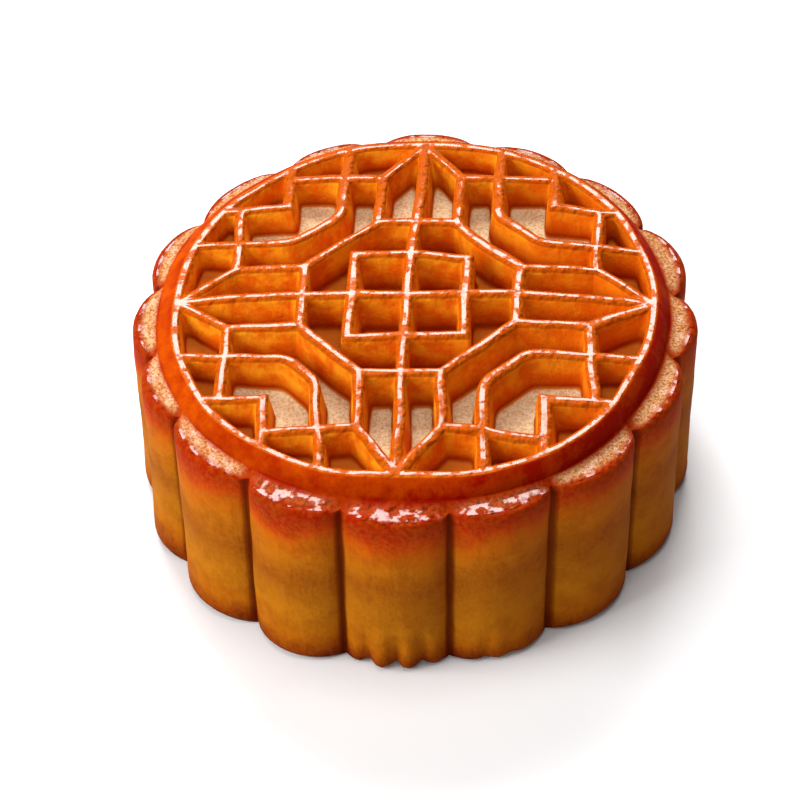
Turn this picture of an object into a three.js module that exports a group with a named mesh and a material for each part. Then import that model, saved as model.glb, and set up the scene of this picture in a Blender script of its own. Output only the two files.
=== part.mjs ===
// A baked mooncake, pressed in a sixteen-lobed mould: one solid of pastry with upright, bulging lobes round
// its side, a narrow shoulder on top of them, and a raised disc whose deep geometric relief is cut into cells
// by thin ridges. Millimetres, +Z up. The origin is the middle of the flat base, and the relief's cross lies
// along X and Y.
import * as THREE from "three";
import { mergeVertices } from "three/addons/utils/BufferGeometryUtils.js";

// Heights above the base.
const crestHeight = 28.5; // the ridge that rims the disc
const domeRise = 2; // how much higher than the rim the middle ridges stand
const shoulderHeight = 25.5;
const floorHeight = 24.65; // the floor of the relief

// The lobed side.
const samplesPerLobe = 8;
const lobeHalfAngle = THREE.MathUtils.degToRad(56); // half the arc that each lobe spans
const tipUnevenness = 0.18; // how far one lobe's tip stands out more than another's
const tipPace = 1.9; // how quickly that changes from lobe to lobe
// How many degrees each notch strays from its even place, starting at the one before the lobe on +X.
const notchDrift = [2, -1.2, -1, -0.5, 0, 1, 0.2, 2.2, 2.6, 1.4, -1.5, 0, -0.7, -0.3, -0.3, 1];
const lobeCount = notchDrift.length;

// The side's profile from the base up to the shoulder: the radius of the lobes' tips and of the notches.
const sideProfile = [
  { height: 0, tip: 33, notch: 31.4 },
  { height: 0.4, tip: 33.9, notch: 31.8 },
  { height: 1.7, tip: 34.55, notch: 32 },
  { height: 10, tip: 34.4, notch: 32.2 },
  { height: shoulderHeight - 2.1, tip: 34.75, notch: 32.6 },
  { height: shoulderHeight - 0.8, tip: 34.45, notch: 32.5 },
  { height: shoulderHeight - 0.2, tip: 33.8, notch: 32.2 },
];

// The relief, as distances from the middle to the centre lines of its ridges.
const rimRadius = 29.5;
const squareReach = 7.05; // the small square
const petalHalfWidth = 4.95; // the pointed petals, also half a side of the octagon
const octagonReach = 13.2;
const petalShoulder = 22.15; // where a petal's sides turn in towards its point
const bandReach = 9.8; // the bent band that runs round each corner of the octagon
const bandCorner = 14.65;
const stepReach = 16.65; // the inner corner of the stepped ridge
const ridgeHalfWidth = 0.5;
const cornerRounding = 0.55;
const rimSegments = 4; // straight pieces in a cell's curved edge

// How far a cell's walls lean in on the way down, measured from the ridges' centre lines.
const wideFoot = 1.6;
const bentFoot = 0.9;
const smallFoot = 1.0;

// The raised disc's outer wall, from its foot on the shoulder up to the crest of the rim.
const discProfile = [
  { height: shoulderHeight + 0.1, radius: rimRadius + 1.7 },
  { height: shoulderHeight + 0.8, radius: rimRadius + 1.3 },
  { height: crestHeight - 0.5, radius: rimRadius + 0.9 },
  { height: crestHeight, radius: rimRadius + ridgeHalfWidth },
];

// The hand-pressed cake isn't quite true: its side leans, its shoulder slopes, and the disc sits off centre.
const lean = 1; // how far the shoulder is shifted along X from the base
const shoulderSlope = new THREE.Vector2(-0.023, 0.027);
const discSlope = new THREE.Vector2(0.012, -0.005);
const discCentre = new THREE.Vector2(0.15, 0.85);

// A gentle, smooth distortion, as soft dough takes in the mould and the oven.
const warpReach = 0.22; // sideways
const warpRise = 0.13; // upwards
const warpAtBase = 0.4; // the share of the sideways distortion that reaches the base
const warpWavelength = 17;
const warpTwist = 0.35; // how much the waves shift with height

const lobeStep = (2 * Math.PI) / lobeCount;
const point = (x, y) => new THREE.Vector2(x, y);
const middle = point(0, 0);
const rimHeightAt = (x) => Math.sqrt(rimRadius ** 2 - x ** 2);

// Bulge of a lobe, 1 at its tip and 0 in its notches, as a circular arc. across runs from -1 to 1.
function lobeBulge(across) {
  const flat = Math.cos(lobeHalfAngle);
  return (Math.sqrt(1 - (across * Math.sin(lobeHalfAngle)) ** 2) - flat) / (1 - flat);
}

// The angle of the notch before a lobe. The one after the last lobe is the first, a turn later.
function notchAngle(lobe) {
  return (lobe - 0.5) * lobeStep + THREE.MathUtils.degToRad(notchDrift[lobe % lobeCount]);
}

// The angles of the points of every loop round the side, each with its place across its lobe.
function sideAngles() {
  const places = [];
  for (let lobe = 0; lobe < lobeCount; lobe++) {
    for (let i = 0; i < samplesPerLobe; i++) {
      const angle = THREE.MathUtils.lerp(notchAngle(lobe), notchAngle(lobe + 1), i / samplesPerLobe);
      places.push({ lobe, angle, across: (2 * i) / samplesPerLobe - 1 });
    }
  }
  return places;
}

// A closed loop round the lobed side.
function lobedLoop({ height, tip, notch }) {
  const share = height / shoulderHeight;
  return sideAngles().map(({ lobe, angle, across }) => {
    const reach = tip - notch + tipUnevenness * Math.sin(tipPace * lobe);
    const p = point(1, 0).multiplyScalar(notch + reach * lobeBulge(across)).rotateAround(middle, angle);
    return new THREE.Vector3(p.x + lean * (share - 0.5), p.y, height + share * shoulderSlope.dot(p));
  });
}

// A closed loop round the disc's wall, at the same angles.
function discLoop({ height, radius }) {
  const share = (height - shoulderHeight) / (crestHeight - shoulderHeight);
  const slope = shoulderSlope.clone().lerp(discSlope, share);
  return sideAngles().map(({ angle }) => {
    const p = point(radius, 0).rotateAround(middle, angle);
    return new THREE.Vector3(p.x + discCentre.x, p.y + discCentre.y, height + slope.dot(p));
  });
}

// The cells of one quarter, as their corners on the ridges' centre lines, anticlockwise. A curved cell's last
// edge, back to its first corner, runs along the rim. A mirrored cell is repeated across the quarter's axis.
function quarterCells() {
  const [a, p, q, s] = [squareReach, petalHalfWidth, octagonReach, petalShoulder];
  const [b, d, e] = [bandReach, bandCorner, stepReach];
  const [overBand, overStep] = [rimHeightAt(b), rimHeightAt(e)];
  const list = (...pairs) => pairs.map(([x, y]) => point(x, y));
  const onRim = { curved: true, mirrored: true };
  return [
    { foot: wideFoot, corners: list([0, 0], [a, 0], [a, a], [0, a]) },
    { foot: bentFoot, corners: list([a, 0], [q, 0], [q, p], [p, q], [0, q], [0, a], [a, a]) },
    { foot: wideFoot, corners: list([q, p], [s, p], [s, b], [d, b], [b, d], [b, s], [p, s], [p, q]) },
    { foot: wideFoot, corners: list([d, b], [s, b], [s, e], [e, e], [e, s], [b, s], [b, d]) },
    { foot: wideFoot, mirrored: true, corners: list([0, q], [p, q], [p, s], [0, rimRadius]) },
    { foot: wideFoot, curved: true, corners: list([e, overStep], [e, e], [overStep, e]) },
    { foot: wideFoot, ...onRim, corners: list([0, rimRadius], [p, s], [b, s], [b, overBand]) },
    { foot: smallFoot, ...onRim, corners: list([b, overBand], [b, s], [e, s], [e, overStep]) },
  ];
}

// Where a line that starts at from and runs along way meets a circle round the middle.
function meetCircle(from, way, radius) {
  const along = from.dot(way);
  return from.clone().addScaledVector(way, Math.sqrt(along ** 2 - from.lengthSq() + radius ** 2) - along);
}

// A cell's outline moved inwards by a distance, with its corners rounded.
function cellOutline({ corners, curved }, distance) {
  const last = corners.length - 1;
  const ways = corners.map((here, i) => corners[(i + 1) % corners.length].clone().sub(here).normalize());
  const inwards = ways.map((way) => point(-way.y, way.x).multiplyScalar(distance));
  const radius = rimRadius - distance;
  const moved = corners.map((here, i) => {
    if (curved && i === 0) {
      const from = corners[1].clone().add(inwards[0]);
      return meetCircle(from, ways[0].clone().negate(), radius);
    }
    if (curved && i === last) {
      const from = corners[last - 1].clone().add(inwards[last - 1]);
      return meetCircle(from, ways[last - 1], radius);
    }
    const sum = inwards.at(i - 1).clone().add(inwards[i]);
    return sum.multiplyScalar((2 * distance ** 2) / sum.lengthSq()).add(here);
  });
  if (!curved) return roundCorners(moved);
  const path = new THREE.Path();
  path.absarc(0, 0, radius, moved[last].angle(), moved[0].angle(), false);
  return roundCorners([...moved, ...path.getPoints(rimSegments).slice(1, -1)]);
}

// The outline with each real corner turned into a short curve. The points of an arc turn little and stay.
function roundCorners(outline) {
  const leastTurn = Math.cos(THREE.MathUtils.degToRad(15));
  return outline.flatMap((here, i) => {
    const towards = [outline.at(i - 1), outline[(i + 1) % outline.length]];
    const [back, on] = towards.map((other) => other.clone().sub(here));
    if (-back.dot(on) > leastTurn * back.length() * on.length()) return [here];
    const [from, to] = [back, on].map((way) => {
      return here.clone().addScaledVector(way, Math.min(0.3, cornerRounding / way.length()));
    });
    return new THREE.QuadraticBezierCurve(from, here, to).getPoints(2);
  });
}

// All the cells of the relief, each with its outline at the crests and at the floor.
function reliefCells() {
  const cells = [];
  for (let quarter = 0; quarter < 4; quarter++) {
    const turn = (p) => p.clone().rotateAround(middle, (quarter * Math.PI) / 2);
    for (const cell of quarterCells()) {
      const opening = cellOutline(cell, ridgeHalfWidth);
      const floor = cellOutline(cell, cell.foot);
      cells.push({ opening: opening.map(turn), floor: floor.map(turn) });
      if (!cell.mirrored) continue;
      const mirror = (outline) => outline.map((p) => turn(point(-p.x, p.y))).reverse();
      cells.push({ opening: mirror(opening), floor: mirror(floor) });
    }
  }
  return cells;
}

// A point of a cell's outline on the ridges' crests.
function onCrest(p) {
  const rise = domeRise * Math.max(0, 1 - p.lengthSq() / rimRadius ** 2);
  return new THREE.Vector3(p.x + discCentre.x, p.y + discCentre.y, crestHeight + rise + discSlope.dot(p));
}

// A point of a cell's outline on the floor.
function onFloor(p) {
  return new THREE.Vector3(p.x + discCentre.x, p.y + discCentre.y, floorHeight);
}

// The distortion of a point. It leaves the base flat.
function warp(p) {
  const wave = (value, phase) => Math.sin((2 * Math.PI * value) / warpWavelength + phase);
  const lift = Math.min(1, p.z / floorHeight);
  const sideways = warpReach * THREE.MathUtils.lerp(warpAtBase, 1, lift);
  return new THREE.Vector3(
    p.x + sideways * wave(p.y + warpTwist * p.z, 0.5),
    p.y + sideways * wave(p.x - warpTwist * p.z, 2.1),
    p.z + warpRise * lift * wave(p.x + p.y, 1.2),
  );
}

// Collects triangles into one closed surface.
class Surface {
  corners = [];

  // Joins two loops of the same length. Seen from above both run anticlockwise, and the surface faces out
  // where the second one is higher.
  join(first, second) {
    first.forEach((here, i) => {
      const next = (i + 1) % first.length;
      this.corners.push(here, first[next], second[next], here, second[next], second[i]);
    });
  }

  // Fills a loop that has holes, facing up, or down.
  fill(loop, holes = [], down = false) {
    const flat = (points) => points.map(warp).map((p) => point(p.x, p.y));
    const points = [loop, ...holes].flat();
    const inner = holes.map((hole) => flat(hole));
    for (const [a, b, c] of THREE.ShapeUtils.triangulateShape(flat(loop), inner)) {
      this.corners.push(...(down ? [points[c], points[b], points[a]] : [points[a], points[b], points[c]]));
    }
  }

  geometry() {
    const soup = new THREE.BufferGeometry().setFromPoints(this.corners.map(warp));
    const merged = mergeVertices(soup, 1e-4);
    merged.computeVertexNormals();
    return merged;
  }
}

function mooncakeGeometry() {
  const surface = new Surface();

  // The side, the shoulder and the disc's wall.
  const loops = [...sideProfile.map(lobedLoop), ...discProfile.map(discLoop)];
  surface.fill(loops[0], [], true);
  for (let i = 1; i < loops.length; i++) surface.join(loops[i - 1], loops[i]);

  // The relief: every cell has a leaning wall down to its floor, and the ridges are what is left between.
  const openings = [];
  for (const { opening, floor } of reliefCells()) {
    const top = opening.map(onCrest);
    const bottom = floor.map(onFloor);
    surface.join(top, bottom);
    surface.fill(bottom);
    openings.push(top.toReversed());
  }
  surface.fill(loops.at(-1), openings);
  return surface.geometry();
}

const crust = new THREE.MeshStandardMaterial({ color: 0xc8641a, roughness: 0.42, metalness: 0 });

const mooncake = new THREE.Mesh(mooncakeGeometry(), crust);
mooncake.name = "mooncake";

const group = new THREE.Group();
group.add(mooncake);

export default group;
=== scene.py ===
import itertools
import math

import bpy
import numpy as np
from mathutils import Matrix, Vector
from mathutils.geometry import delaunay_2d_cdt


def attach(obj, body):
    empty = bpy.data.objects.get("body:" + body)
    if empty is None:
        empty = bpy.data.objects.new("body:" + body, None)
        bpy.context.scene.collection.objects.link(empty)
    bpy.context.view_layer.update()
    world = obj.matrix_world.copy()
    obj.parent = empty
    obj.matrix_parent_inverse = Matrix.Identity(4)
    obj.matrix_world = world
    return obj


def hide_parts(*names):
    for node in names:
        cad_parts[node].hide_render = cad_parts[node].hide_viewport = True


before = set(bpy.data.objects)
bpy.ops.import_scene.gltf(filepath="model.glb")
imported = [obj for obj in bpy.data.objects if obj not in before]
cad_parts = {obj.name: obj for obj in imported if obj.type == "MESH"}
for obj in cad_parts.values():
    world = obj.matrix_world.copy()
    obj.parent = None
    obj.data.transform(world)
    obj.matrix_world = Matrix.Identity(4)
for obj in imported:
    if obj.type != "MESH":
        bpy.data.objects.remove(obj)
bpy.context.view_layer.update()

# A baked mooncake. Shapes are worked out in millimetres and turned into metres at the end.
metresPerMillimetre = 0.001

cake = {
    "crestHeight": 28.5,  # the ridge that rims the disc
    "domeRise": 2.0,  # how much higher the middle ridges stand
    "shoulderHeight": 26.3,
    "floorHeight": 24.65,  # the floor of the relief
    "rimRadius": 29.5,
    "lean": 1.0,  # how far the shoulder is shifted along X from the base
    "shoulderSlope": (-0.015, 0.0),
    "discSlope": (0.012, -0.005),
    "discCentre": (0.15, 0.85),
    "topStrip": 0.16,  # half the width of the ridges' narrow level top
}

topStrip = cake["topStrip"]
discCentre = np.array(cake["discCentre"])
shoulderSlope = np.array(cake["shoulderSlope"])
discSlope = np.array(cake["discSlope"])


# Everything is collected as points, marks and faces, and becomes one mesh at the end.
points = []  # arrays of rows of x, y, z
markNames = ("pressDepth", "floorShare", "crestShare", "shoulderShare", "glintShare", "rimShare", "notchShare")
marks = {name: [] for name in markNames}  # one value from 0 to 1 for each point, read by the material
faces = []
pointCount = 0


def addPoints(coordinates, **shares):  # returns the points' numbers
    global pointCount
    coordinates = np.asarray(coordinates, float)
    points.append(coordinates)
    for name, values in marks.items():
        values.append(np.broadcast_to(np.asarray(shares.get(name, 0.0), float), len(coordinates)))
    numbers = np.arange(pointCount, pointCount + len(coordinates))
    pointCount += len(coordinates)
    return numbers


def bridge(lower, upper):  # joins two loops, faces out where the second is higher
    lowerNext, upperNext = np.roll(lower, -1), np.roll(upper, -1)
    faces.extend(np.stack([lower, lowerNext, upperNext, upper], axis=1).tolist())


def insideOutline(spots, outline):  # even-odd test of many spots against one closed outline
    start, end = outline, np.roll(outline, -1, axis=0)
    x, y = spots[:, :1], spots[:, 1:]
    crosses = (start[:, 1] > y) != (end[:, 1] > y)
    rise = np.where(end[:, 1] == start[:, 1], 1e-12, end[:, 1] - start[:, 1])
    at = start[:, 0] + (y - start[:, 1]) / rise * (end[:, 0] - start[:, 0])
    return (np.sum(crosses & (x < at), axis=1) % 2) == 1


def triangulate(outlines, loose):  # plane triangles over closed outlines and loose spots between them
    spots = [Vector(spot) for spot in np.concatenate([*outlines, loose]).tolist()]
    edges, first = [], 0
    for outline in outlines:
        count = len(outline)
        edges.extend((first + i, first + (i + 1) % count) for i in range(count))
        first += count
    made, _, triangles, origins, _, _ = delaunay_2d_cdt(spots, edges, [], 1, 1e-7)
    number = [origin[0] if origin else -1 for origin in origins]
    return [tuple(number[corner] for corner in triangle) for triangle in triangles]


# Smooth noise from -1 to 1, with one bump about every size millimetres. The large numbers only
# scramble a grid cell's place into a value.
def softNoise(places, size, seed):
    scaled = places / size + 100.0
    cell = np.floor(scaled).astype(np.int64)
    part = scaled - cell
    part = part * part * (3 - 2 * part)
    total = np.zeros(len(places))
    for corner in itertools.product((0, 1), repeat=3):
        key = cell + np.array(corner)
        mixed = (key[:, 0] * 73856093) ^ (key[:, 1] * 19349663) ^ (key[:, 2] * 83492791) ^ (seed * 2654435761)
        mixed = (mixed ^ (mixed >> 13)) * 1274126177 & 0x7FFFFFFF
        value = (mixed ^ (mixed >> 16)) % 65536 / 65535
        total += np.prod(np.where(corner, part, 1 - part), axis=1) * value
    return total * 2 - 1


def smoothStep(low, high, value):
    share = np.clip((value - low) / (high - low), 0, 1)
    return share * share * (3 - 2 * share)


# Crossings that lie off their even places: x, y and the shift.
strayCrossings = np.array([
    (0, 0, -0.5, -0.2), (-7.1, 7.1, -0.3, 0), (7.1, 7.1, -0.4, -0.8), (-7.1, -7.1, -0.2, -0.5),
    (0, 7.1, -0.4, 0), (7.1, 0, -0.5, 0.1), (0, -7.1, -0.4, -0.3), (13.2, -5, -0.2, 0.4),
    (5, -13.2, -0.5, 0.1), (13.2, 0, -0.1, 0.5), (0, -13.2, -0.4, -0.2), (22.1, 5, 0.3, 0.5),
    (-22.1, 5, 0.3, 0.3), (22.1, -5, -0.3, 0.6), (5, -22.1, 0, 0.8), (-5, -22.1, -0.1, 0.6),
    (22.1, 9.8, 0.3, -0.5), (22.1, -9.8, 0.1, 0.4), (-22.1, -9.8, 0.1, -0.3), (-9.8, 14.6, 0.2, -0.2),
    (14.6, 9.8, 0.8, 0), (-14.6, 9.8, -0.4, 0.1), (-14.6, -9.8, 0.2, -0.9), (-9.8, -14.6, -0.7, 0),
    (22.1, 16.7, 0.6, -0.5), (-22.1, 16.7, -0.5, -0.1), (22.1, -16.7, 0.5, 0.3), (16.7, -22.1, 0.1, -0.5),
    (-16.7, -22.1, 0.4, 0.1), (16.7, 16.7, 0.3, 0.3), (-16.7, 16.7, 0.2, 0.3), (16.7, -16.7, 0.2, -0.2),
    (-16.7, -16.7, 0, -0.4), (-9.8, 27.8, 0.4, 0.1), (27.8, 9.8, 0.2, -0.6), (-27.8, 9.8, 0.2, 0.6),
    (27.8, -9.8, 0.2, 0.5), (-27.8, -9.8, -0.2, 0.6), (9.8, -27.8, 0.3, 0.1), (-9.8, -27.8, 0.8, -0.3),
])
# How far the rim's ridge lies outside its even circle, every 22.5 degrees from +X.
rimWander = np.array((0.2, -0.1, 0, 0, -0.3, 0.35, 0, 0, -0.6, -0.3, 0.1, -0.1, -0.6, 0.7, 1.0, 0.3))
wander = {
    "strayReach": 2.6,  # how far a crossing's shift spreads
    "strayHold": 0.25,  # how firmly the even pattern holds against it
    "rimStart": 21,  # radius where the rim's wander begins to show
    "waviness": 0.12,  # of the ridges between their crossings
    "wavePitch": 3.0,
}


def wanderAt(plan):  # how far points of the relief and the rim shift in plan
    radius = np.linalg.norm(plan, axis=1)
    apart = np.linalg.norm(plan[:, None] - strayCrossings[None, :, :2], axis=2)
    weight = np.exp(-((apart / wander["strayReach"]) ** 2) / 2)
    shift = weight @ strayCrossings[:, 2:] / (weight.sum(axis=1) + wander["strayHold"])[:, None]
    turn = np.arctan2(plan[:, 1], plan[:, 0]) / (2 * math.pi) * len(rimWander) % len(rimWander)
    before = np.floor(turn).astype(int) % len(rimWander)
    share = smoothStep(0, 1, turn - np.floor(turn))
    outwards = rimWander[before] * (1 - share) + rimWander[(before + 1) % len(rimWander)] * share
    outwards *= smoothStep(wander["rimStart"], cake["rimRadius"], radius)
    shift += plan / np.maximum(radius, 1)[:, None] * outwards[:, None]
    flat = np.column_stack([plan, np.zeros(len(plan))])
    fade = smoothStep(cake["rimRadius"] + 1, cake["rimRadius"] - 3, radius)[:, None]
    waves = np.stack([softNoise(flat, wander["wavePitch"], seed) for seed in (5, 6)], axis=1)
    return shift + waves * wander["waviness"] * fade


# The lobed side, the shoulder and the disc's wall are rings of points, one column after another.
side = {
    "pointsPerLobe": 22,
    "notchCrowding": 0.86,  # from 0 to 1: the columns of points stand closer at the notches
    "lobeHalfAngle": 56,  # degrees, half the arc that each lobe spans
    "tipUnevenness": 0.16,
    "tipPace": 1.9,
    "notchDrift": (2, -1.2, -1, -0.5, 0, 1, 0.2, 2.2, 2.6, 1.4, -1.5, 0, -0.7, -0.3, -0.3, 1),  # degrees
    "heights": (0, 2.0, 10, 18, 23.4, 26.3),
    "tipRadii": (34.35, 34.4, 34.3, 34.45, 34.57, 34.57),
    "notchRadii": (31.9, 32.0, 32.2, 32.4, 32.6, 32.6),
    "baseLoops": (0.85, 0.65, 0.45, 0.25),  # the underside's loops, as shares of its outline
    "baseRounding": (1.3, 1.6),  # inwards and upwards
    "topRounding": (0.9, 1.0),
    "roundingSteps": (9, 10),  # at the base and at the top
    "wallSteps": 30,
    "notchRoundingShare": 0.3,
    "creaseDepth": 0.3,  # the notches end in a narrow crease
    "notchDip": 0.3,  # how far the shoulder falls towards a notch
    "dipDepth": 4,  # how far down the side that fall begins
    "wallDipShare": 0.4,
    "shoulderSteps": (0.15, 0.32, 0.5, 0.67, 0.82, 0.93),  # shares of the way in to the disc's foot
    "shoulderPaleAndSheen": (1, 1, 1, 1, 1, 1, 1, 1, 1, 1, 0.8, 0.12, 0.05, 0.15, 0.9, 1),  # by lobe: paler crust, partly painted sheen of the light behind
    "discFoot": 31.4,
    "discFootLift": 0.15,
    "discProfile": (  # shares of the way out and down from the crest, from the foot up
        (1, 1), (0.975, 0.93), (0.94, 0.85), (0.89, 0.76), (0.83, 0.66), (0.76, 0.56), (0.68, 0.46), (0.59, 0.36),
        (0.49, 0.26), (0.39, 0.18), (0.29, 0.11), (0.2, 0.06), (0.12, 0.025), (0.05, 0.005), (0, 0),
    ),
}
# Small flutes pressed into the foot of two lobes: lobe number, place across it, depth and half width.
flutes = (
    (12, -0.52, 1.2, 0.12),
    (12, -0.02, 1.5, 0.12),
    (12, 0.48, 1.2, 0.12),
    (13, -0.35, 0.6, 0.12),
    (13, 0.12, 0.4, 0.13),
)
fluteHeight = 10.5


def sideColumns():  # for every column round the side: lobe, place across it from -1 to 1, and angle
    drift = np.array(side["notchDrift"], float)
    count = len(drift)
    notches = (np.arange(count + 1) - 0.5) * 360 / count + np.append(drift, drift[0])
    steps = np.arange(side["pointsPerLobe"]) / side["pointsPerLobe"]
    crowding = math.pi / 2 * side["notchCrowding"]
    across = np.sin((steps * 2 - 1) * crowding) / math.sin(crowding)
    lobe = np.repeat(np.arange(count), len(steps))
    place = np.tile(across, count)
    angle = notches[lobe] + (notches[lobe + 1] - notches[lobe]) * (place + 1) / 2
    return lobe, place, np.radians(angle)


lobeOfColumn, placeAcross, columnAngle = sideColumns()
halfArc = math.radians(side["lobeHalfAngle"])
bulge = (np.sqrt(1 - (placeAcross * math.sin(halfArc)) ** 2) - math.cos(halfArc)) / (1 - math.cos(halfArc))
columnDirection = np.stack([np.cos(columnAngle), np.sin(columnAngle)], axis=1)
notchCloseness = smoothStep(0.6, 1.0, np.abs(placeAcross))
tongue = 1 - smoothStep(0.72, 0.98, np.abs(placeAcross))  # each lobe's part of the shoulder
notchCrease = smoothStep(0.9, 1.0, np.abs(placeAcross))
notchSink = smoothStep(0.5, 1.0, np.abs(placeAcross)) ** 1.3
paleSheenPart = np.array(side["shoulderPaleAndSheen"])[lobeOfColumn]


def lobedRing(height, inset):  # plan of the side at a height, its edge pulled in by inset at the tips
    tip = np.interp(height, side["heights"], side["tipRadii"])
    notch = np.interp(height, side["heights"], side["notchRadii"])
    reach = tip - notch + side["tipUnevenness"] * np.sin(side["tipPace"] * lobeOfColumn)
    share = side["notchRoundingShare"] + (1 - side["notchRoundingShare"]) * bulge
    radius = notch + reach * bulge - inset * share
    for lobe, place, depth, width in flutes:
        groove = np.exp(-(((placeAcross - place) / width) ** 2)) * (lobeOfColumn == lobe)
        radius = radius - depth * groove * smoothStep(fluteHeight, 0.5, height)
    radius = radius - side["creaseDepth"] * notchCrease * min(1, height / 2)
    return columnDirection * radius[:, None]


def sideRing(height, inset, notchFall=0.0, **shares):
    plan = lobedRing(height, inset)
    share = height / cake["shoulderHeight"]
    fall = side["notchDip"] * notchFall * notchSink
    z = height + share * (plan @ shoulderSlope) - fall
    x = plan[:, 0] + cake["lean"] * (share - 0.5)
    return addPoints(np.stack([x, plan[:, 1], z], axis=1), notchShare=notchCloseness, **shares)


rimPlan = columnDirection * (cake["rimRadius"] + topStrip)
rimShift = wanderAt(rimPlan)


def discRing(height, radius, blend=1.0, lobed=None, notchFall=0.0, **shares):  # lobed is the shoulder's edge
    share = (height - cake["shoulderHeight"]) / (cake["crestHeight"] - cake["shoulderHeight"])
    slope = shoulderSlope + (discSlope - shoulderSlope) * np.clip(share, 0, 1)
    wanderShare = 0.5 + 0.5 * np.clip(share, 0, 1)
    place = columnDirection * radius + discCentre + rimShift * wanderShare
    if lobed is not None:
        place = lobed + (place - lobed) * blend
    fall = side["notchDip"] * notchFall * notchSink
    z = height + place @ slope - fall
    return addPoints(np.column_stack([place, z]), **shares)


def buildSide():
    rings = []
    baseSteps, topSteps = side["roundingSteps"]
    roundIn, roundUp = side["baseRounding"]
    for turn in np.radians(np.linspace(0, 90, baseSteps)):
        height = roundUp * (1 - math.cos(turn))
        rings.append(sideRing(height, roundIn * (1 - math.sin(turn))))
    roundIn, roundUp = side["topRounding"]
    top, dip = cake["shoulderHeight"], side["wallDipShare"]
    for height in np.linspace(roundUp, top - roundUp, side["wallSteps"])[1:-1]:
        rings.append(sideRing(height, 0.0, smoothStep(top - side["dipDepth"], top, height) * dip))
    for turn in np.radians(np.linspace(0, 90, topSteps)):
        height = top - roundUp * (1 - math.sin(turn))
        edge = float(smoothStep(0, 1, turn / math.radians(90)))
        glint = tongue**2 * edge**6
        rings.append(sideRing(height, roundIn * (1 - math.cos(turn)), dip + (1 - dip) * edge, glintShare=glint))
    # across the shoulder to the disc's foot
    plan = points[-1][:, :2]
    for blend in side["shoulderSteps"]:
        lift = side["discFootLift"] * smoothStep(0.6, 1.0, blend)
        fall = 1 - float(smoothStep(0.1, 0.95, blend))
        share = 1 - float(smoothStep(0.7, 0.95, blend))
        shares = {
            "shoulderShare": tongue * paleSheenPart * share * float(smoothStep(0.05, 0.3, blend)),
            "glintShare": tongue**2 * (1 - 0.8 * paleSheenPart) * share,
            "rimShare": float(smoothStep(0.65, 0.95, blend)),
        }
        rings.append(discRing(top + lift, side["discFoot"], blend, plan, fall, **shares))
    # up the disc's bulging wall
    foot, crest = side["discFoot"], cake["crestHeight"]
    reach = foot - (cake["rimRadius"] + topStrip)
    for outwards, drop in side["discProfile"]:
        crestShare = float(smoothStep(0.16, 0.02, outwards))
        height = crest - (crest - top - side["discFootLift"]) * drop
        radius = foot - reach * (1 - outwards)
        rings.append(discRing(height, radius, rimShare=1 - crestShare, crestShare=crestShare))
    for lower, upper in zip(rings, rings[1:]):
        bridge(lower, upper)
    return rings[0], rings[-1]


def buildBase(edge):  # the flat underside, a few shrinking loops and a fan
    outline = points[0]
    middle = outline.mean(axis=0)
    rings = [edge]
    for scale in side["baseLoops"]:
        rings.append(addPoints(middle + (outline - middle) * scale))
    for outer, inner in zip(rings, rings[1:]):
        bridge(inner, outer)
    centre = addPoints([middle])[0]
    last = rings[-1]
    faces.extend([int(b), int(a), int(centre)] for a, b in zip(last, np.roll(last, -1)))


# The pressed relief is a pattern of cells, sunk between ridges.
relief = {
    "squareReach": 7.05,  # distances from the middle to the ridges' centre lines
    "petalHalfWidth": 4.95,
    "octagonReach": 13.2,
    "petalShoulder": 22.15,
    "bandReach": 9.8,
    "bandCorner": 14.65,
    "stepReach": 16.65,
    "bandRounding": 4.0,  # the bent band's corners are well rounded
    "cornerRounding": (0.25, 0.75),  # at the crests and at the floor
    "crestRounding": 0.56,
    "crestTurns": (0, 20, 38, 55, 70),  # degrees round the crest's edge
    "wallDepths": (0.15, 0.28, 0.42, 0.56, 0.7, 0.84),  # shares of the way down
    "footTurns": (40, 65, 90),  # degrees round the corner at the floor
    "footRounding": 0.3,
    "wideFoot": 1.25,  # from a ridge's centre line to its wall's foot
    "bentFoot": 0.9,
    "smallFoot": 0.95,
    "pointSpacing": 0.52,
    "floorSpacing": 0.75,
    "hiddenFloor": 0.35,  # how pale the floors of the small cells are; the rest is painted shade
    "frameFloor": 0.4,  # and those inside the octagon
}


def quarterCells():  # corners on the ridges' centre lines, anticlockwise: x, y and an optional rounding
    a, p, q = relief["squareReach"], relief["petalHalfWidth"], relief["octagonReach"]
    s, b, d, e = relief["petalShoulder"], relief["bandReach"], relief["bandCorner"], relief["stepReach"]
    rim, bend = cake["rimRadius"], relief["bandRounding"]
    overBand, overStep = math.sqrt(rim**2 - b**2), math.sqrt(rim**2 - e**2)
    wide, bent, small = relief["wideFoot"], relief["bentFoot"], relief["smallFoot"]
    smallShaded, tan = relief["hiddenFloor"], relief["frameFloor"]
    return [  # foot, curved (the last edge follows the rim), mirrored, how pale the floor is, corners
        (wide, False, False, smallShaded, [(0, 0), (a, 0), (a, a), (0, a)]),
        (bent, False, False, tan, [(a, 0), (q, 0), (q, p, 1), (p, q, 1), (0, q), (0, a), (a, a)]),
        (wide, False, False, 1.0, [
            (q, p, 1), (s, p), (s, b), (d, b, bend), (b, d, bend), (b, s), (p, s), (p, q, 1),
        ]),
        (wide, False, False, 1.0, [(d, b, bend), (s, b), (s, e), (e, e), (e, s), (b, s), (b, d, bend)]),
        (wide, False, True, 1.0, [(0, q), (p, q), (p, s), (0, rim)]),
        (wide, True, False, smallShaded, [(e, overStep), (e, e), (overStep, e)]),
        (wide, True, True, smallShaded, [(0, rim), (p, s), (b, s), (b, overBand)]),
        (small, True, True, smallShaded, [(b, overBand), (b, s), (e, s), (e, overStep)]),
    ]


def meetCircle(start, way, radius):  # where a line meets a circle round the middle
    along = start @ way
    return start + way * (math.sqrt(along**2 - start @ start + radius**2) - along)


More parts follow.
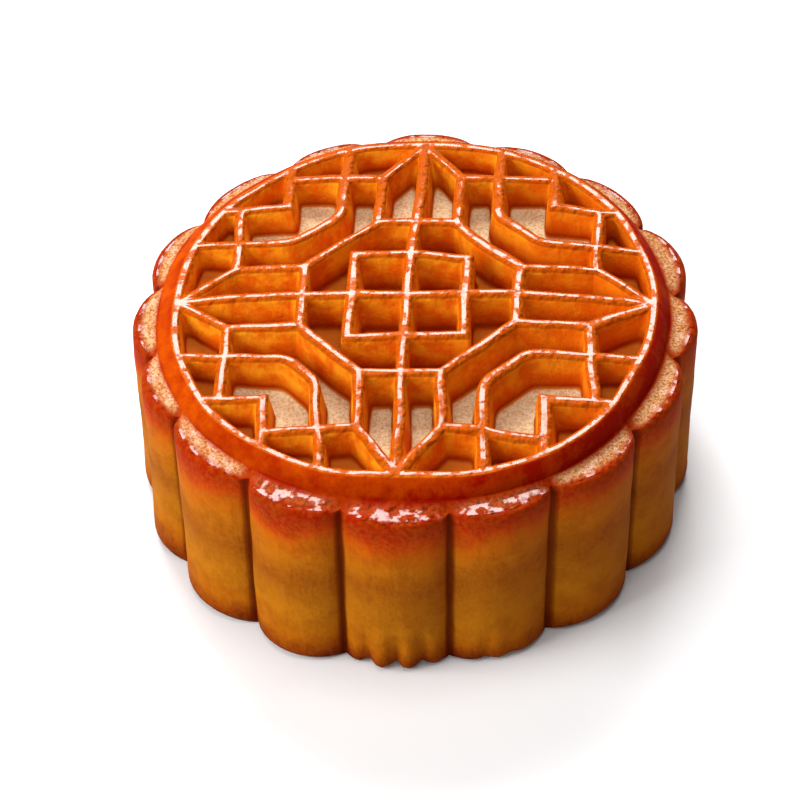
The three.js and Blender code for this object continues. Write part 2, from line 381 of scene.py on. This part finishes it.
def movedCorners(corners, curved, distance):  # the cell's corners after its edges move inwards
    plan = np.array([corner[:2] for corner in corners], float)
    ways = np.roll(plan, -1, axis=0) - plan
    ways /= np.linalg.norm(ways, axis=1)[:, None]
    inwards = np.stack([-ways[:, 1], ways[:, 0]], axis=1) * distance
    last, radius = len(plan) - 1, cake["rimRadius"] - distance
    moved = []
    for i, here in enumerate(plan):
        if curved and i == 0:
            moved.append(meetCircle(plan[1] + inwards[0], -ways[0], radius))
        elif curved and i == last:
            moved.append(meetCircle(plan[last - 1] + inwards[last - 1], ways[last - 1], radius))
        else:
            both = inwards[i - 1] + inwards[i]
            moved.append(here + both * (2 * distance**2 / (both @ both)))
    return np.array(moved)


def edgePoint(moved, curved, edge, share):  # a point along one edge, which may be an arc of the rim
    start, end = moved[edge], moved[(edge + 1) % len(moved)]
    if not (curved and edge == len(moved) - 1):
        return start + (end - start) * share
    first, second = math.atan2(start[1], start[0]), math.atan2(end[1], end[0])
    angle = first + (second - first) * share
    return np.linalg.norm(start) * np.array([math.cos(angle), math.sin(angle)])


def cellPlan(corners, curved, distance, depth, counts=None):  # an inset outline with rounded corners
    moved = movedCorners(corners, curved, distance)
    total = len(moved)
    low, high = relief["cornerRounding"]
    lengths = np.linalg.norm(np.roll(moved, -1, axis=0) - moved, axis=1)
    arriving = [edgePoint(moved, curved, i - 1 if i else total - 1, 0.98) for i in range(total)]
    leaving = [edgePoint(moved, curved, i, 0.02) for i in range(total)]
    cuts, turns = [], []
    for i, corner in enumerate(corners):
        one, other = moved[i] - arriving[i], leaving[i] - moved[i]
        one, other = one / np.linalg.norm(one), other / np.linalg.norm(other)
        turn = math.atan2(one[0] * other[1] - one[1] * other[0], one @ other)
        wanted = corner[2] if len(corner) > 2 else 0
        rounding = max(low + (high - low) * depth, wanted - math.copysign(distance, turn) if wanted else 0)
        cuts.append(rounding * math.tan(abs(turn) / 2))
        turns.append((abs(turn), rounding))
    if counts is None:
        spacing = relief["pointSpacing"]
        counts = []
        for (turn, rounding), length in zip(turns, lengths):
            cornerCount = max(math.ceil(turn / 0.4), math.ceil(rounding * turn / spacing))
            counts.append((cornerCount, max(2, math.ceil(length / spacing))))
    outline, mostCut = [], 0.45  # a rounding takes at most this share of an edge
    for i, (cornerCount, edgeCount) in enumerate(counts):
        before, after = (i - 1) % total, (i + 1) % total
        startShare, endShare = min(mostCut, cuts[i] / lengths[i]), 1 - min(mostCut, cuts[after] / lengths[i])
        start = edgePoint(moved, curved, before, 1 - min(mostCut, cuts[i] / lengths[before]))
        end = edgePoint(moved, curved, i, startShare)
        for step in np.arange(cornerCount) / cornerCount:
            outline.append(start * (1 - step) ** 2 + moved[i] * 2 * step * (1 - step) + end * step**2)
        for step in np.arange(edgeCount) / edgeCount:
            outline.append(edgePoint(moved, curved, i, startShare + (endShare - startShare) * step))
    return np.array(outline), counts


def cellProfile(foot):  # how far in, how deep (1 at the floor), how far below the crest, share of crest
    crestRound, footRound = relief["crestRounding"], relief["footRounding"]
    rows = []
    for turn in np.radians(relief["crestTurns"]):
        drop = crestRound * (1 - math.cos(turn))
        rows.append((topStrip + crestRound * math.sin(turn), 0.0, drop, math.cos(turn) ** 0.5))
    wallStart, roundDrop = rows[-1][0], rows[-1][2]
    wallEnd, lowest = foot - 0.1, relief["wallDepths"][-1]
    for share in relief["wallDepths"]:
        inwards = wallStart + (wallEnd - wallStart) * (share / lowest)
        rows.append((inwards, share, roundDrop * (1 - share), 0.25 * (1 - share) ** 3))
    for turn in np.radians(relief["footTurns"]):
        depth = lowest + 0.16 * math.sin(turn) ** 1.5
        rows.append((foot + 0.2 - footRound * math.cos(turn), depth, 0.0, 0.0))
    return rows


def crestLevel(plan):
    inside = np.clip(1 - np.sum(plan**2, axis=1) / cake["rimRadius"] ** 2, 0, None)
    return cake["crestHeight"] + cake["domeRise"] * inside + plan @ discSlope


def onDisc(plan, z):
    return np.column_stack([plan + wanderAt(plan) + discCentre, z])


def turnedPlan(plan, turn, flip):  # one of the pattern's copies
    return (plan * (-1, 1))[::-1] @ turn if flip else plan @ turn


def buildCell(foot, curved, pale, corners, turn, flip):
    counts, upper, opening = None, None, None
    for distance, depth, drop, crestShare in cellProfile(foot):
        plan, counts = cellPlan(corners, curved, distance, depth, counts)
        plan = turnedPlan(plan, turn, flip)
        top = crestLevel(plan) - drop
        z = top + (cake["floorHeight"] - top) * depth
        floorShare = pale * float(smoothStep(0.86, 1.0, depth))
        ring = addPoints(onDisc(plan, z), pressDepth=depth, floorShare=floorShare, crestShare=crestShare)
        if upper is None:
            opening = (plan, ring)
        else:
            bridge(upper, ring)
        upper = ring
    buildFloor(plan, upper, pale)
    return opening


def buildFloor(plan, ring, pale):
    spacing = relief["floorSpacing"]
    steps = [np.arange(low, high, spacing) for low, high in zip(plan.min(axis=0), plan.max(axis=0))]
    grid = np.stack(np.meshgrid(*steps), axis=-1).reshape(-1, 2)
    grid = grid[insideOutline(grid, plan)]
    inner = np.zeros(0, int)
    if len(grid):
        apart = np.min(np.linalg.norm(grid[:, None] - plan[None], axis=2), axis=1)
        grid = grid[apart > spacing * 0.55]
    if len(grid):
        heights = np.full(len(grid), cake["floorHeight"])
        inner = addPoints(onDisc(grid, heights), pressDepth=1.0, floorShare=pale)
    numbers = np.concatenate([ring, inner])
    places = np.concatenate([plan, grid])
    for triangle in triangulate([plan], grid):
        faces.append([int(numbers[corner]) for corner in orient(triangle, places)])


def orient(triangle, plan):  # anticlockwise from above, so that it faces up
    a, b, c = (plan[corner] for corner in triangle)
    turn = (b[0] - a[0]) * (c[1] - a[1]) - (b[1] - a[1]) * (c[0] - a[0])
    return triangle if turn > 0 else triangle[::-1]


def buildRelief(rimRing):
    openings = []
    for quarter in range(4):
        cosine, sine = round(math.cos(quarter * math.pi / 2)), round(math.sin(quarter * math.pi / 2))
        turn = np.array([[cosine, sine], [-sine, cosine]])
        for foot, curved, mirrored, pale, corners in quarterCells():
            for flip in (False, True) if mirrored else (False,):
                openings.append(buildCell(foot, curved, pale, corners, turn, flip))
    # the ridges' narrow tops lie between the cells' openings and the rim
    outlines = [rimPlan] + [plan for plan, ring in openings]
    numbers = np.concatenate([rimRing] + [ring for plan, ring in openings])
    plan = np.concatenate(outlines)
    triangles = np.array(triangulate(outlines, np.zeros((0, 2))))
    middles = plan[triangles].mean(axis=1)
    hidden = np.zeros(len(triangles), bool)
    for outline in outlines[1:]:
        hidden |= insideOutline(middles, outline)
    for triangle in triangles[~hidden]:
        faces.append([int(numbers[corner]) for corner in orient(tuple(triangle), plan)])


baseRing, rimRing = buildSide()
buildBase(baseRing)
buildRelief(rimRing)
print("shape worked out:", pointCount, "points,", len(faces), "faces")


unevenness = {  # size in millimetres: how far the surface moves in or out
    9.0: 0.10,
    3.2: 0.055,
    1.3: 0.03,
}


def makeMesh(name):
    mesh = bpy.data.meshes.new(name)
    place = np.concatenate(points)
    mesh.from_pydata(place.tolist(), [], faces)
    mesh.update()
    normals = np.zeros(len(place) * 3, np.float32)
    mesh.vertices.foreach_get("normal", normals)
    normals = normals.reshape(-1, 3).astype(float)
    shift = np.zeros(len(place))
    for seed, (size, reach) in enumerate(unevenness.items()):
        shift += softNoise(place, size, seed + 20) * reach
    shift *= smoothStep(0.0, 1.5, place[:, 2])  # the base stays flat
    place = (place + normals * shift[:, None]) * metresPerMillimetre
    place[:, 2] = np.clip(place[:, 2], 0, None)
    mesh.vertices.foreach_set("co", place.astype(np.float32).ravel())
    for mark, values in marks.items():
        attribute = mesh.attributes.new(mark, "FLOAT", "POINT")
        attribute.data.foreach_set("value", np.concatenate(values).astype(np.float32))
    mesh.shade_smooth()
    mesh.update()
    piece = bpy.data.objects.new(name, mesh)
    bpy.context.scene.collection.objects.link(piece)
    return piece


mooncake = makeMesh("bakedMooncake")
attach(mooncake, "root")
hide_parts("mooncake")
print("mesh made")


def linear(red, green, blue):  # from a display colour, 0 to 255, to the shader's linear scale
    return tuple((value / 255) ** 2.2 for value in (red, green, blue)) + (1.0,)


def addNode(tree, kind, x, y, label=None):  # x and y only lay the nodes out
    node = tree.nodes.new(kind)
    node.location = (x * 200, y * 160)
    if label:
        node.label = label
    return node


def fill(node, **values):
    for name, value in values.items():
        node.inputs[name.replace("_", " ")].default_value = value
    return node


def calculate(tree, operation, one, other, x, y, clamp=False):
    node = addNode(tree, "ShaderNodeMath", x, y)
    node.operation = operation
    node.use_clamp = clamp
    for socket, value in zip(node.inputs, (one, other)):
        if isinstance(value, (int, float)):
            socket.default_value = value
        else:
            tree.links.new(value, socket)
    return node.outputs[0]


def mixColour(tree, share, one, other, x, y):
    node = addNode(tree, "ShaderNodeMix", x, y)
    node.data_type = "RGBA"
    for socket, value in ((node.inputs[0], share), (node.inputs[6], one), (node.inputs[7], other)):
        if isinstance(value, (int, float, tuple)):
            socket.default_value = value
        else:
            tree.links.new(value, socket)
    return node.outputs[2]


def ramp(tree, share, stops, x, y):
    node = addNode(tree, "ShaderNodeValToRGB", x, y)
    while len(node.color_ramp.elements) < len(stops):
        node.color_ramp.elements.new(0.5)
    for element, (position, colour) in zip(node.color_ramp.elements, stops):
        element.position = position
        element.color = colour
    tree.links.new(share, node.inputs[0])
    return node.outputs[0]


def mapRange(tree, value, low, high, x, y, newLow=0.0, newHigh=1.0):
    node = addNode(tree, "ShaderNodeMapRange", x, y)
    node.interpolation_type = "SMOOTHSTEP"
    tree.links.new(value, node.inputs[0])
    for socket, number in zip(node.inputs[1:5], (low, high, newLow, newHigh)):
        socket.default_value = number
    return node.outputs[0]


def noiseAt(tree, vector, size, x, y, detail=3.0, roughness=0.5, stretch=None):  # size in millimetres
    if stretch:
        mapping = addNode(tree, "ShaderNodeMapping", x - 1, y)
        mapping.inputs["Scale"].default_value = stretch
        tree.links.new(vector, mapping.inputs["Vector"])
        vector = mapping.outputs[0]
    node = addNode(tree, "ShaderNodeTexNoise", x, y)
    fill(node, Scale=1 / (size * metresPerMillimetre), Detail=detail, Roughness=roughness)
    tree.links.new(vector, node.inputs["Vector"])
    return node.outputs[0]


def readMark(tree, name, x, y):
    node = addNode(tree, "ShaderNodeAttribute", x, y, name)
    node.attribute_name = name
    return node.outputs["Fac"]


crust = {
    "crest": (176, 78, 14),
    "wall": (230, 148, 32),
    "wallWarm": (212, 102, 20),
    "deep": (168, 50, 5),  # painted shade low in the walls
    # painted shade deepest at the walls' foot
    "deepest": (112, 18, 2),
    "rim": (176, 68, 7),
    # the rim's darker colour serves both random blotches and painted shade towards +X
    "rimShadeAndBlotches": (136, 22, 2),
    # the floors' pale crumb colour, partly painted reflection of the light behind
    "floor": (216, 192, 154),
    "floorDark": (190, 152, 108),
    "floorShade": (188, 104, 36),  # painted shade on the floors of the small cells, and where a wall meets its floor
    # the pale tongues: a paler crust, partly painted sheen
    "shoulder": (210, 162, 112),
    "shoulderDark": (174, 98, 46),
    "flankShade": (112, 40, 3),  # painted shade on the flanks towards +X
    "sidePale": (200, 130, 40),
    "sideDark": (112, 46, 8),
    # painted shade in the creases between the lobes
    "valleyShade": (92, 26, 3),
    "flankShadeAmount": 0.4,  # how strongly painted shade darkens the flanks towards +X
    "shoulderPaleness": 0.9,
    "washedRoughness": 0.36,  # under thick egg wash
    "bareRoughness": 0.66,
    "fineRoughness": 0.12,
    "coatRoughness": 0.12,
    "lumpHeight": 0.0005,  # metres, the lumps under the egg wash
}
noiseSizes = {  # millimetres from bump to bump
    "broad": 11.0,
    "blotches": 5.0,
    "mottle": 2.6,
    "patches": 1.5,  # of egg wash
    "streaks": 1.1,
    "lumps": 0.95,
    "fine": 0.6,
    "speckle": 0.34,
}
streakStretch = (1, 1, 0.22)  # the streaks run down the side
sideUnevenness = {"broad": 0.26, "mottle": 0.05, "streaks": 0.08}  # how much each moves the side's browning
sideRamp = (  # from the base to the shoulder; the darkest stops at the very base are painted shade where the side meets the floor
    (0.00, (76, 20, 3)),
    (0.05, (124, 46, 4)),
    (0.16, (166, 90, 12)),
    (0.30, (170, 102, 18)),
    (0.44, (156, 90, 17)),
    (0.56, (142, 76, 15)),
    (0.70, (168, 94, 15)),
    (0.81, (176, 84, 9)),
    (0.87, (170, 56, 5)),
    (0.93, (150, 34, 4)),
    (1.00, (140, 28, 3)),
)


def makeCrust():
    material = bpy.data.materials.new("glazedCrust")
    material.use_nodes = True
    tree = material.node_tree
    tree.nodes.clear()
    shader = addNode(tree, "ShaderNodeBsdfPrincipled", 8, 0)
    output = addNode(tree, "ShaderNodeOutputMaterial", 10, 0)
    tree.links.new(shader.outputs[0], output.inputs["Surface"])
    where = addNode(tree, "ShaderNodeTexCoord", -10, 0).outputs["Object"]
    split = addNode(tree, "ShaderNodeSeparateXYZ", -9, -1)
    tree.links.new(where, split.inputs[0])
    colour = {name: linear(*value) for name, value in crust.items() if isinstance(value, tuple)}
    depth, floorShare, crestShare, shoulderShare, glintShare, rimShare, notchShare = (
        readMark(tree, name, -9, 4 + row) for row, name in enumerate(markNames)
    )

    broad = noiseAt(tree, where, noiseSizes["broad"], -7, 2, 2.0)
    mottle = noiseAt(tree, where, noiseSizes["mottle"], -7, 1, 4.0, 0.6)
    fine = noiseAt(tree, where, noiseSizes["fine"], -7, 0, 3.0, 0.6)
    speckle = noiseAt(tree, where, noiseSizes["speckle"], -7, 3, 2.0, 0.7)
    lumps = noiseAt(tree, where, noiseSizes["lumps"], -7, -4, 1.0, 0.5)
    streaks = noiseAt(tree, where, noiseSizes["streaks"], -7, -5, 3.0, 0.6, streakStretch)
    uneven = {"broad": broad, "mottle": mottle, "streaks": streaks}

    # the side browns from the base up, unevenly
    height = calculate(tree, "DIVIDE", split.outputs["Z"], cake["shoulderHeight"] * metresPerMillimetre, -8, -1)
    for row, (name, amount) in enumerate(sideUnevenness.items()):
        part = calculate(tree, "SUBTRACT", uneven[name], 0.5, -6, -1 - row)
        part = calculate(tree, "MULTIPLY", part, amount, -5, -1 - row)
        height = calculate(tree, "ADD", height, part, -4, -1 - row)
    sideColour = ramp(tree, height, [(at, linear(*value)) for at, value in sideRamp], -2, -1)
    grain = mapRange(tree, mottle, 0.35, 0.6, -3, -4, 0.3, 0.0)
    sideColour = mixColour(tree, grain, sideColour, colour["sideDark"], -2, -4)
    grain = mapRange(tree, fine, 0.3, 0.75, -3, -5, 0.0, 0.14)
    sideColour = mixColour(tree, grain, sideColour, colour["sidePale"], -2, -5)
    # painted shade: the flanks that face +X are darkened and reddened as if in shadow
    facing = addNode(tree, "ShaderNodeSeparateXYZ", -4, -6)
    tree.links.new(addNode(tree, "ShaderNodeTexCoord", -5, -6).outputs["Normal"], facing.inputs[0])
    towardsX = mapRange(tree, facing.outputs["X"], -0.1, 0.9, -3, -6)
    flankShadeAmount = calculate(tree, "MULTIPLY", towardsX, crust["flankShadeAmount"], -2, -6)
    sideColour = mixColour(tree, flankShadeAmount, sideColour, colour["flankShade"], -1, -5)
    # painted shade darkens the creases between the lobes
    creaseShade = mapRange(tree, notchShare, 0.78, 1.0, -2, -3, 0.0, 0.8)
    sideColour = mixColour(tree, creaseShade, sideColour, colour["valleyShade"], -1, -1)

    # the rim's outer wall: random blotches, and painted shade that darkens it towards +X
    blotches = noiseAt(tree, where, noiseSizes["blotches"], -4, 6, 4.0, 0.65)
    blotches = mapRange(tree, blotches, 0.35, 0.65, -3, 6, -0.35, 0.35)
    shadeAndBlotches = mapRange(tree, facing.outputs["X"], -0.95, 0.4, -3, 8)
    shadeAndBlotches = calculate(tree, "ADD", shadeAndBlotches, blotches, -2, 7, True)
    rimColour = mixColour(tree, shadeAndBlotches, colour["rim"], colour["rimShadeAndBlotches"], -2, 6)
    base = mixColour(tree, rimShare, sideColour, rimColour, -1, 3)

    # the relief: bright above, redder low down and towards +X as painted shade, pale and matt on the floors
    warmer = mapRange(tree, mottle, 0.36, 0.64, -5, 2)
    shade = mixColour(tree, warmer, colour["wall"], colour["wallWarm"], -4, 3)
    # painted shade: the walls towards +X are redder, as if in shadow
    wallShadeTowardsX = mapRange(tree, split.outputs["X"], 0.002, 0.03, -5, 3, 0.0, 0.7)
    shade = mixColour(tree, wallShadeTowardsX, shade, colour["wallWarm"], -3, 4)
    # painted shade: the walls darken towards the floor
    lower = mapRange(tree, depth, 0.3, 0.9, -5, 4, 0.0, 0.75)
    shade = mixColour(tree, lower, shade, colour["deep"], -3, 3)
    lowest = mapRange(tree, depth, 0.7, 0.9, -5, 6, 0.0, 0.6)
    shade = mixColour(tree, lowest, shade, colour["deepest"], -2, 3)
    crumb = mapRange(tree, speckle, 0.4, 0.65, -5, 5)
    paleFloor = mixColour(tree, crumb, colour["floor"], colour["floorDark"], -4, 5)
    # painted shade: small cells' floors and each wall's foot take the darker floor colour
    pale = mapRange(tree, floorShare, 0.45, 0.95, -4, 6)
    paleFloor = mixColour(tree, pale, colour["floorShade"], paleFloor, -3, 5)
    shade = mixColour(tree, mapRange(tree, floorShare, 0.0, 0.45, -2, 5), shade, paleFloor, -1, 4)
    shade = mixColour(tree, mapRange(tree, crestShare, 0.4, 0.85, -1, 7), shade, colour["crest"], 0, 4)
    pressed = calculate(tree, "MAXIMUM", calculate(tree, "MULTIPLY", depth, 40.0, -2, 8), crestShare, -1, 8, True)
    base = mixColour(tree, pressed, base, shade, 1, 1)
    # the shoulder's tongues turn pale: a paler crust, partly painted sheen
    crumb = mapRange(tree, speckle, 0.4, 0.62, 0, 6)
    paleShoulder = mixColour(tree, crumb, colour["shoulder"], colour["shoulderDark"], 1, 4)
    pale = calculate(tree, "MULTIPLY", shoulderShare, crust["shoulderPaleness"], 1, 3)
    base = mixColour(tree, pale, base, paleShoulder, 2, 1)
    tree.links.new(base, shader.inputs["Base Color"])

    # egg wash lies thick on the crests and in spots on the shoulder
    patches = noiseAt(tree, where, noiseSizes["patches"], 1, -3, 2.0, 0.6)
    wash = mapRange(tree, patches, 0.4, 0.52, 2, -2, 0.08, 1.0)
    wash = calculate(tree, "MULTIPLY", mapRange(tree, crestShare, 0.84, 1.0, 1, -1), wash, 3, -1)
    glint = mapRange(tree, patches, 0.49, 0.6, 2, -3)
    glint = calculate(tree, "MULTIPLY", glintShare, glint, 3, -2)
    wash = calculate(tree, "MAXIMUM", wash, glint, 4, -1)
    tree.links.new(wash, shader.inputs["Coat Weight"])
    roughness = mapRange(tree, wash, 0.0, 0.8, 6, -1, crust["bareRoughness"], crust["washedRoughness"])
    rougher = calculate(tree, "MULTIPLY", fine, crust["fineRoughness"], 6, -2)
    tree.links.new(calculate(tree, "ADD", roughness, rougher, 7, -1), shader.inputs["Roughness"])
    fill(shader, Coat_Roughness=crust["coatRoughness"], Coat_IOR=1.5, IOR=1.4, Specular_IOR_Level=0.03)

    # lumps break the gloss on crests and shoulder, streaks run down the side, grain everywhere
    lumpy = calculate(tree, "MULTIPLY", glintShare, 1.5, -6, -6)
    lumpy = calculate(tree, "MAXIMUM", crestShare, lumpy, -5, -6)
    lumpy = mapRange(tree, lumpy, 0.0, 1.5, -4, -6, 0.15, 2.0)
    relieved = calculate(tree, "SUBTRACT", lumps, 0.5, -5, -7)
    relieved = calculate(tree, "MULTIPLY", relieved, lumpy, -3, -6)
    grained = calculate(tree, "SUBTRACT", speckle, 0.5, -5, -8)
    grained = calculate(tree, "MULTIPLY", grained, shoulderShare, -3, -7)
    for noise, amount, row in ((grained, 0.7, -8), (fine, 0.2, -9), (streaks, 0.25, -10)):
        part = calculate(tree, "MULTIPLY", noise, amount, -3, row)
        relieved = calculate(tree, "ADD", relieved, part, -2, row)
    bump = addNode(tree, "ShaderNodeBump", 6, -6)
    fill(bump, Strength=1.0, Distance=crust["lumpHeight"])
    tree.links.new(relieved, bump.inputs["Height"])
    tree.links.new(bump.outputs[0], shader.inputs["Normal"])
    return material


mooncake.data.materials.append(makeCrust())
print("materials made")


stage = {
    "size": 3.0,
    "colour": (0.82, 0.82, 0.82, 1.0),
    "roughness": 0.9,
    "gloss": 0.1,
    "skyStrength": 0.08,
}
# Azimuth and elevation in degrees (0 is the camera's side), distance, width and height in metres, power,
# whether the light shows in the gloss, and the share of it that lights the surface itself.
lights = {
    "windowBehind": (188, 46, 0.55, (0.38, 0.24), 4.2, True, 0.55),
    "keyLeft": (-68, 30, 0.75, (0.5, 0.5), 6.0, False, 1.0),
    "fillFront": (-14, 34, 0.9, (0.6, 0.4), 1.4, False, 1.0),
    "overhead": (0, 88, 0.8, (0.4, 0.4), 3.4, False, 1.0),
}
cameraView = {
    "azimuth": 6.33,
    "elevation": 44.0,
    "roll": -3.8,
    "distance": 0.4714,  # metres from the middle of the rim
    "focalLength": 173.9,  # millimetres, as is the sensor's width
    "sensorWidth": 36.0,
    "clip": (0.01, 20),
    "right": 0.0136,  # where the rim's middle sits, in widths of the frame
    "up": 0.1213,
}


def awayFrom(azimuth, elevation):  # direction from the cake, azimuth 0 on the -Y side
    turn, rise = math.radians(azimuth), math.radians(elevation)
    return Vector((math.sin(turn) * math.cos(rise), -math.cos(turn) * math.cos(rise), math.sin(rise)))


def makeFloor():
    mesh = bpy.data.meshes.new("paleFloor")
    half = stage["size"] / 2
    mesh.from_pydata([(-half, -half, 0), (half, -half, 0), (half, half, 0), (-half, half, 0)], [], [(0, 1, 2, 3)])
    floor = bpy.data.objects.new("paleFloor", mesh)
    bpy.context.scene.collection.objects.link(floor)
    material = bpy.data.materials.new("palePaper")
    material.use_nodes = True
    shader = material.node_tree.nodes["Principled BSDF"]
    fill(shader, Base_Color=stage["colour"], Roughness=stage["roughness"], Specular_IOR_Level=stage["gloss"])
    mesh.materials.append(material)


def makeLights(middle):
    for name, (azimuth, elevation, distance, size, power, inGloss, diffuseShare) in lights.items():
        data = bpy.data.lights.new(name, "AREA")
        data.shape = "RECTANGLE"
        data.size, data.size_y = size
        data.energy = power
        lamp = bpy.data.objects.new(name, data)
        away = awayFrom(azimuth, elevation)
        lamp.location = middle + away * distance
        lamp.rotation_euler = away.to_track_quat("Z", "Y").to_euler()
        lamp.visible_glossy = inGloss
        data.diffuse_factor = diffuseShare
        bpy.context.scene.collection.objects.link(lamp)
    world = bpy.data.worlds.new("softStudio")
    world.use_nodes = True
    fill(world.node_tree.nodes["Background"], Color=(1, 1, 1, 1), Strength=stage["skyStrength"])
    bpy.context.scene.world = world


def makeCamera(middle):
    data = bpy.data.cameras.new("studioCamera")
    data.lens, data.sensor_width = cameraView["focalLength"], cameraView["sensorWidth"]
    data.clip_start, data.clip_end = cameraView["clip"]
    camera = bpy.data.objects.new("studioCamera", data)
    back = awayFrom(cameraView["azimuth"], cameraView["elevation"])
    turned = (-back).to_track_quat("-Z", "Y").to_matrix()
    turned = turned @ Matrix.Rotation(math.radians(cameraView["roll"]), 3, "Z")
    frameWidth = data.sensor_width / data.lens
    turned = turned @ Matrix.Rotation(math.atan(cameraView["right"] * frameWidth), 3, "Y")
    turned = turned @ Matrix.Rotation(-math.atan(cameraView["up"] * frameWidth), 3, "X")
    camera.matrix_world = Matrix.Translation(middle + back * cameraView["distance"]) @ turned.to_4x4()
    bpy.context.scene.collection.objects.link(camera)
    bpy.context.scene.camera = camera


rimMiddle = Vector((*cake["discCentre"], cake["crestHeight"])) * metresPerMillimetre
makeFloor()
makeLights(rimMiddle)
makeCamera(rimMiddle)
bpy.context.scene.view_settings.view_transform = "Standard"
bpy.context.scene.view_settings.look = "None"
print("stage, lights and camera made")

bpy.context.view_layer.update()
